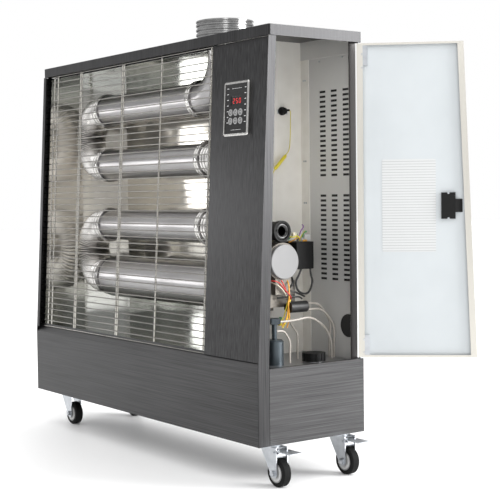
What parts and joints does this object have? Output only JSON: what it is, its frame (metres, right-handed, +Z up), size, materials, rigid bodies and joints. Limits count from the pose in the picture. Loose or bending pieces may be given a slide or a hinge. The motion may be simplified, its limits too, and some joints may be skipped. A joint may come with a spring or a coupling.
{
  "type": "diesel infrared heater",
  "caption": "Mobile diesel infrared heater: radiant tubes behind a wire grille, burner behind a hinged side door, tank in the base, flue spigot on top, braked casters below.",
  "frame": {"origin": "on the floor, under the middle of the whole object's box with the service door open", "axes": "+X along the width from the grille's left end towards the side with the door, +Y from the radiant front to the back, +Z up"},
  "size_m": [1.259, 0.4988, 1.067],
  "materials": {
    "cabinet_steel": "brushed dark grey",
    "galvanised_sheet": "matt galvanised",
    "door_steel": "pale grey paint",
    "reflector_sheet": "polished",
    "bright_wire": "bright plated",
    "tube_steel": "aluminised, satin",
    "spigot_steel": "satin",
    "tank_steel": "dark grey paint",
    "black_plastic": "fine grained",
    "white_plastic": "matt",
    "button_plastic": "semi-gloss",
    "burner_metal": "dark cast metal",
    "fan_metal": "satin",
    "filter_metal": "grey blue paint",
    "hose_rubber": "smooth",
    "wire_insulation": "yellow insulation",
    "zinc": "zinc plated",
    "hub_plastic": "matt grey",
    "tyre_rubber": "smooth tread",
    "pedal_steel": "black paint"
  },
  "bodies": {
    "cabinet": {"base_tray": "cabinet_steel", "base_front_panel": "cabinet_steel", "right_front_post": "cabinet_steel", "left_side_panel": "cabinet_steel", "top_cover": "cabinet_steel", "front_panel": "cabinet_steel", "rear_panel": "galvanised_sheet", "partition_wall": "galvanised_sheet", "reflector": "reflector_sheet", "grille": "bright_wire", "control_bezel": "bright_wire", "heat_tubes": "tube_steel", "combustion_tube": "tube_steel", "left_bend_upper": "tube_steel", "left_bend_lower": "tube_steel", "right_bend": "tube_steel", "tube_clamps": "tube_steel", "flue_elbow": "tube_steel", "flue_spigot": "spigot_steel", "fuel_tank": "tank_steel", "control_face": "black_plastic", "control_box": "black_plastic", "fuel_pump": "black_plastic", "air_intake": "black_plastic", "fan_cover": "white_plastic", "burner_housing": "burner_metal", "burner_motor": "burner_metal", "fuel_filter": "filter_metal", "fuel_hoses": "hose_rubber", "grommet": "hose_rubber", "wiring": "wire_insulation", "hinge_pins": "zinc", "caster_plates": "zinc"},
    "door": {"door_pan": "door_steel", "door_liner": "door_steel", "door_hinges": "door_steel", "latch_body": "black_plastic"},
    "latch_handle": {"latch_lever": "black_plastic"},
    "fan": {"burner_fan": "fan_metal"},
    "filler_cap": {"tank_cap": "black_plastic"},
    "key_power": {"button_power": "button_plastic"},
    "key_mode": {"button_mode": "button_plastic"},
    "key_timer": {"button_timer": "button_plastic"},
    "key_down": {"button_down": "button_plastic"},
    "key_up": {"button_up": "button_plastic"},
    "key_set": {"button_set": "button_plastic"},
    "caster_front_right": {"fork_front_right": "zinc"},
    "wheel_front_right": {"hub_front_right": "hub_plastic", "tyre_front_right": "tyre_rubber"},
    "brake_front_right": {"pedal_front_right": "pedal_steel"},
    "caster_rear_right": {"fork_rear_right": "zinc"},
    "wheel_rear_right": {"hub_rear_right": "hub_plastic", "tyre_rear_right": "tyre_rubber"},
    "brake_rear_right": {"pedal_rear_right": "pedal_steel"},
    "caster_front_left": {"fork_front_left": "zinc"},
    "wheel_front_left": {"hub_front_left": "hub_plastic", "tyre_front_left": "tyre_rubber"},
    "caster_rear_left": {"fork_rear_left": "zinc"},
    "wheel_rear_left": {"hub_rear_left": "hub_plastic", "tyre_rear_left": "tyre_rubber"}
  },
  "joints": [
    {"name": "door_hinge", "type": "hinge", "parent": "cabinet", "child": "door", "pos_m": [0.44351, 0.04859, 0.616], "axis": [0, 0, 1], "range_deg": [-138, 30]},
    {"name": "latch_pivot", "type": "hinge", "parent": "door", "child": "latch_handle", "pos_m": [0.56634, 0.19367, 0.616], "axis": [0, 0, 1], "range_deg": [0, 35], "stiffness_Nm_per_rad": 0.02, "springref_deg": -5.73},
    {"name": "press_power", "type": "slide", "parent": "cabinet", "child": "key_power", "axis": [0, 0.9987, -0.0517], "range_m": [0, 0.001], "stiffness_N_per_m": 400, "springref_m": -0.0005},
    {"name": "press_mode", "type": "slide", "parent": "cabinet", "child": "key_mode", "axis": [0, 0.9987, -0.0517], "range_m": [0, 0.001], "stiffness_N_per_m": 400, "springref_m": -0.0005},
    {"name": "press_timer", "type": "slide", "parent": "cabinet", "child": "key_timer", "axis": [0, 0.9987, -0.0517], "range_m": [0, 0.001], "stiffness_N_per_m": 400, "springref_m": -0.0005},
    {"name": "press_down", "type": "slide", "parent": "cabinet", "child": "key_down", "axis": [0, 0.9987, -0.0517], "range_m": [0, 0.001], "stiffness_N_per_m": 400, "springref_m": -0.0005},
    {"name": "press_up", "type": "slide", "parent": "cabinet", "child": "key_up", "axis": [0, 0.9987, -0.0517], "range_m": [0, 0.001], "stiffness_N_per_m": 400, "springref_m": -0.0005},
    {"name": "press_set", "type": "slide", "parent": "cabinet", "child": "key_set", "axis": [0, 0.9987, -0.0517], "range_m": [0, 0.001], "stiffness_N_per_m": 400, "springref_m": -0.0005},
    {"name": "swivel_front_right", "type": "hinge", "parent": "cabinet", "child": "caster_front_right", "pos_m": [0.41051, -0.18741, 0.088], "axis": [0, 0, 1], "continuous": true},
    {"name": "spin_front_right", "type": "hinge", "parent": "caster_front_right", "child": "wheel_front_right", "pos_m": [0.43851, -0.18741, 0.0315], "axis": [0, 1, 0], "continuous": true},
    {"name": "brake_pivot_front_right", "type": "hinge", "parent": "caster_front_right", "child": "brake_front_right", "pos_m": [0.44051, -0.18741, 0.078], "axis": [0, 1, 0], "range_deg": [0, 12]},
    {"name": "swivel_rear_right", "type": "hinge", "parent": "cabinet", "child": "caster_rear_right", "pos_m": [0.41051, 0.01059, 0.088], "axis": [0, 0, 1], "continuous": true},
    {"name": "spin_rear_right", "type": "hinge", "parent": "caster_rear_right", "child": "wheel_rear_right", "pos_m": [0.43851, 0.01059, 0.0315], "axis": [0, 1, 0], "continuous": true},
    {"name": "brake_pivot_rear_right", "type": "hinge", "parent": "caster_rear_right", "child": "brake_rear_right", "pos_m": [0.44051, 0.01059, 0.078], "axis": [0, 1, 0], "range_deg": [0, 12]},
    {"name": "swivel_front_left", "type": "hinge", "parent": "cabinet", "child": "caster_front_left", "pos_m": [-0.55149, -0.18741, 0.088], "axis": [0, 0, 1], "continuous": true},
    {"name": "spin_front_left", "type": "hinge", "parent": "caster_front_left", "child": "wheel_front_left", "pos_m": [-0.52349, -0.18741, 0.0315], "axis": [0, 1, 0], "continuous": true},
    {"name": "swivel_rear_left", "type": "hinge", "parent": "cabinet", "child": "caster_rear_left", "pos_m": [-0.55149, 0.01059, 0.088], "axis": [0, 0, 1], "continuous": true},
    {"name": "spin_rear_left", "type": "hinge", "parent": "caster_rear_left", "child": "wheel_rear_left", "pos_m": [-0.52349, 0.01059, 0.0315], "axis": [0, 1, 0], "continuous": true},
    {"name": "fan_spin", "type": "hinge", "parent": "cabinet", "child": "fan", "pos_m": [0.30851, -0.09941, 0.491], "axis": [1, 0, 0], "continuous": true},
    {"name": "cap_lift", "type": "slide", "parent": "cabinet", "child": "filler_cap", "axis": [0, 0, 1], "range_m": [0, 0.06]}
  ]
}
